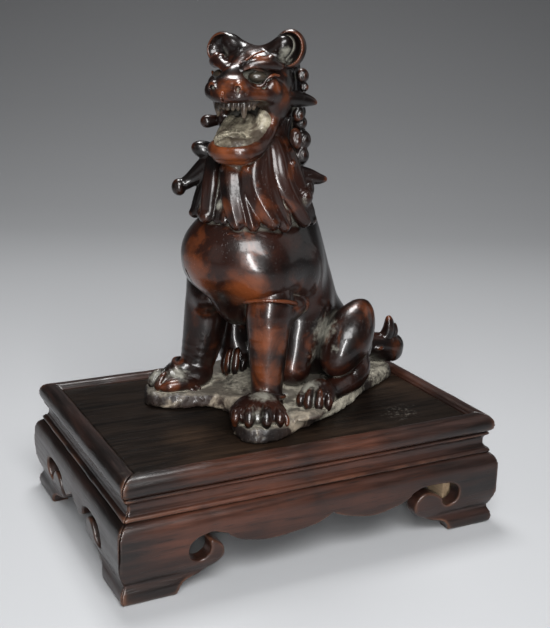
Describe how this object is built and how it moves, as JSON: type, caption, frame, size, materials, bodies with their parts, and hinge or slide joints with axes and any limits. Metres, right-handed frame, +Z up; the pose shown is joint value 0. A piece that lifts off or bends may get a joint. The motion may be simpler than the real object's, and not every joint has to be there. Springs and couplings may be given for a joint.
{
  "type": "foo dog statue",
  "caption": "Seated guardian lion with open jaws and a curled mane, cast in bronze, resting loose on a low moulded hardwood stand with scroll feet.",
  "frame": {"origin": "on the surface the stand rests on, under the middle of the stand", "axes": "+Z up, +X along the stand's long side, the stand's front long face at -Y; the lion faces towards -X, turned 20 degrees to -Y"},
  "size_m": [0.2052, 0.1422, 0.2466],
  "materials": {
    "rosewood": "polished",
    "panel_wood": "satin",
    "raw_wood": "rough",
    "bronze": "polished patina",
    "dusty_bronze": "matte",
    "eye": "gloss"
  },
  "bodies": {
    "stand": {"frame_rail_front": "rosewood", "frame_rail_back": "rosewood", "frame_rail_left": "rosewood", "frame_rail_right": "rosewood", "waist_moulding_front": "rosewood", "waist_moulding_back": "rosewood", "waist_moulding_left": "rosewood", "waist_moulding_right": "rosewood", "apron_front": "rosewood", "apron_back": "rosewood", "apron_left": "rosewood", "apron_right": "rosewood", "top_panel": "panel_wood", "panel_batten": "raw_wood", "glue_block_front_left": "raw_wood", "glue_block_front_right": "raw_wood", "glue_block_back_right": "raw_wood", "glue_block_back_left": "raw_wood"},
    "lion": {"base_slab": "dusty_bronze", "torso": "bronze", "head": "bronze", "mane": "bronze", "tail": "bronze", "foreleg_left": "bronze", "foreleg_right": "bronze", "hind_leg_left": "bronze", "hind_leg_right": "bronze", "ear_left": "bronze", "ear_right": "bronze", "eye_left": "eye", "eye_right": "eye", "tongue": "dusty_bronze", "upper_teeth": "dusty_bronze", "lower_teeth": "dusty_bronze"}
  },
  "joints": [
    {"name": "lift_off", "type": "slide", "parent": "stand", "child": "lion", "axis": [0, 0, 1], "range_m": [0, 0.06]}
  ]
}
